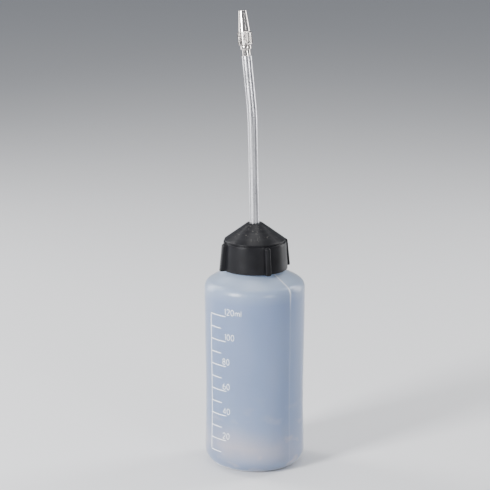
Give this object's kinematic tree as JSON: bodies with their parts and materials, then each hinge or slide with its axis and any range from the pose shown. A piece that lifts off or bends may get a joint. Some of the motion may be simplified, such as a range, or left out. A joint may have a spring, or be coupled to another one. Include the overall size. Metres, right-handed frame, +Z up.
{
  "type": "glue applicator bottle",
  "caption": "Soft squeeze bottle with a finned conical screw cap, a gently bent metal spout tube and a knurled screw-on nozzle for fine glue work.",
  "frame": {"origin": "centre of the base, on the surface that the bottle stands on", "axes": "+Z up along the bottle and its cap thread; the graduation scale faces -Y; the parting lines lie at +X and -X; the spout bends towards -X"},
  "size_m": [0.0486, 0.0484, 0.2202],
  "materials": {
    "bottle": "natural translucent soft plastic, satin",
    "cap": "black moulded plastic, satin",
    "liner": "soft foam sealing ring",
    "tube": "drawn, finely brushed",
    "nozzle": "bright nickel plate over turned metal",
    "seal": "soft sealing washer"
  },
  "bodies": {
    "bottle": {"bottle": "bottle"},
    "liner": {"cap_liner": "liner"},
    "cap": {"screw_cap": "cap", "spout_tube": "tube", "nozzle_adapter": "nozzle"},
    "seal": {"nozzle_seal": "seal"},
    "tip": {"nozzle_tip": "nozzle"}
  },
  "joints": [
    {"name": "cap_lift", "type": "slide", "parent": "bottle", "child": "liner", "axis": [0, 0, 1], "range_m": [0, 0.0168]},
    {"name": "cap_turn", "type": "hinge", "parent": "liner", "child": "cap", "pos_m": [0, 0, 0.1], "axis": [0, 0, 1], "range_deg": [0, 1440]},
    {"name": "tip_travel", "type": "slide", "parent": "cap", "child": "seal", "axis": [-0.1392, 0, 0.9903], "range_m": [0, 0.0049]},
    {"name": "tip_turn", "type": "hinge", "parent": "seal", "child": "tip", "pos_m": [-0.00561, 0, 0.19881], "axis": [-0.1392, 0, 0.9903], "range_deg": [0, 2520]}
  ],
  "couplings": [
    {"joint": "cap_turn", "follows": "cap_lift", "rad_per_m": 1496},
    {"joint": "tip_turn", "follows": "tip_travel", "rad_per_m": 8976}
  ]
}
